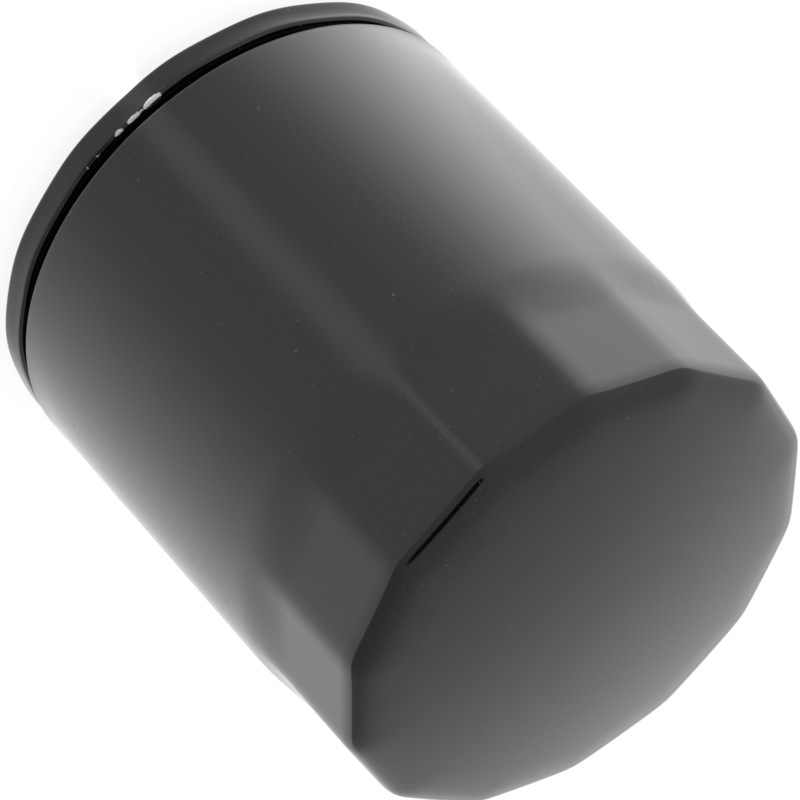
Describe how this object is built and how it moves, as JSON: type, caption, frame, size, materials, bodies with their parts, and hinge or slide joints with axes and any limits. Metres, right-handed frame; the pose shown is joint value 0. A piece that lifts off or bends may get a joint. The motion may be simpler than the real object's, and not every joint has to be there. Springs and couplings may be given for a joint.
{
  "type": "oil filter",
  "caption": "Spin-on oil filter: black steel can with wrench flats on its closed end, seamed lid, gasket, threaded base plate, pleated cartridge and valves.",
  "frame": {"origin": "centre of the gasket's sealing face, on the filter's axis: the part stands on it", "axes": "+Z along the axis towards the closed end; +X out of the middle of one wrench flat; +Y completes the right-handed frame"},
  "size_m": [0.0758, 0.076, 0.092],
  "materials": {
    "can_enamel": "gloss",
    "lid_steel": "gloss",
    "base_plate_steel": "satin",
    "gasket_rubber": "satin",
    "valve_rubber": "satin",
    "seam_compound": "matte",
    "cap_tinplate": "satin",
    "potting": "satin",
    "filter_paper": "matte",
    "clip_steel": "satin",
    "tube_steel": "satin",
    "cage_steel": "satin",
    "spring_steel": "gloss",
    "poppet_steel": "satin",
    "stem_steel": "gloss"
  },
  "bodies": {
    "casing": {"can": "can_enamel", "seam_lid": "lid_steel", "seam_compound": "seam_compound", "base_gasket": "gasket_rubber", "base_plate": "base_plate_steel", "drainback_hub": "valve_rubber", "element_spring": "spring_steel"},
    "drainback_flap": {"drainback_lip": "valve_rubber"},
    "cartridge": {"lower_end_cap": "cap_tinplate", "upper_end_cap": "cap_tinplate", "lower_potting": "potting", "upper_potting": "potting", "pleated_media": "filter_paper", "media_seam_clip": "clip_steel", "center_tube": "tube_steel", "bypass_cage": "cage_steel", "bypass_spring": "spring_steel"},
    "bypass_valve": {"bypass_poppet": "poppet_steel", "bypass_seal": "gasket_rubber", "bypass_stem": "stem_steel"}
  },
  "joints": [
    {"name": "drainback_lift", "type": "slide", "parent": "casing", "child": "drainback_flap", "axis": [0, 0, 1], "range_m": [0, 0.0015], "stiffness_N_per_m": 200, "springref_m": -0.001},
    {"name": "cartridge_float", "type": "slide", "parent": "casing", "child": "cartridge", "axis": [0, 0, 1], "range_m": [0, 0.001], "stiffness_N_per_m": 8000, "springref_m": -0.008, "deforming": ["element_spring"]},
    {"name": "bypass_open", "type": "slide", "parent": "cartridge", "child": "bypass_valve", "axis": [0, 0, -1], "range_m": [0, 0.0025], "stiffness_N_per_m": 2000, "springref_m": -0.005, "deforming": ["bypass_spring"]}
  ]
}
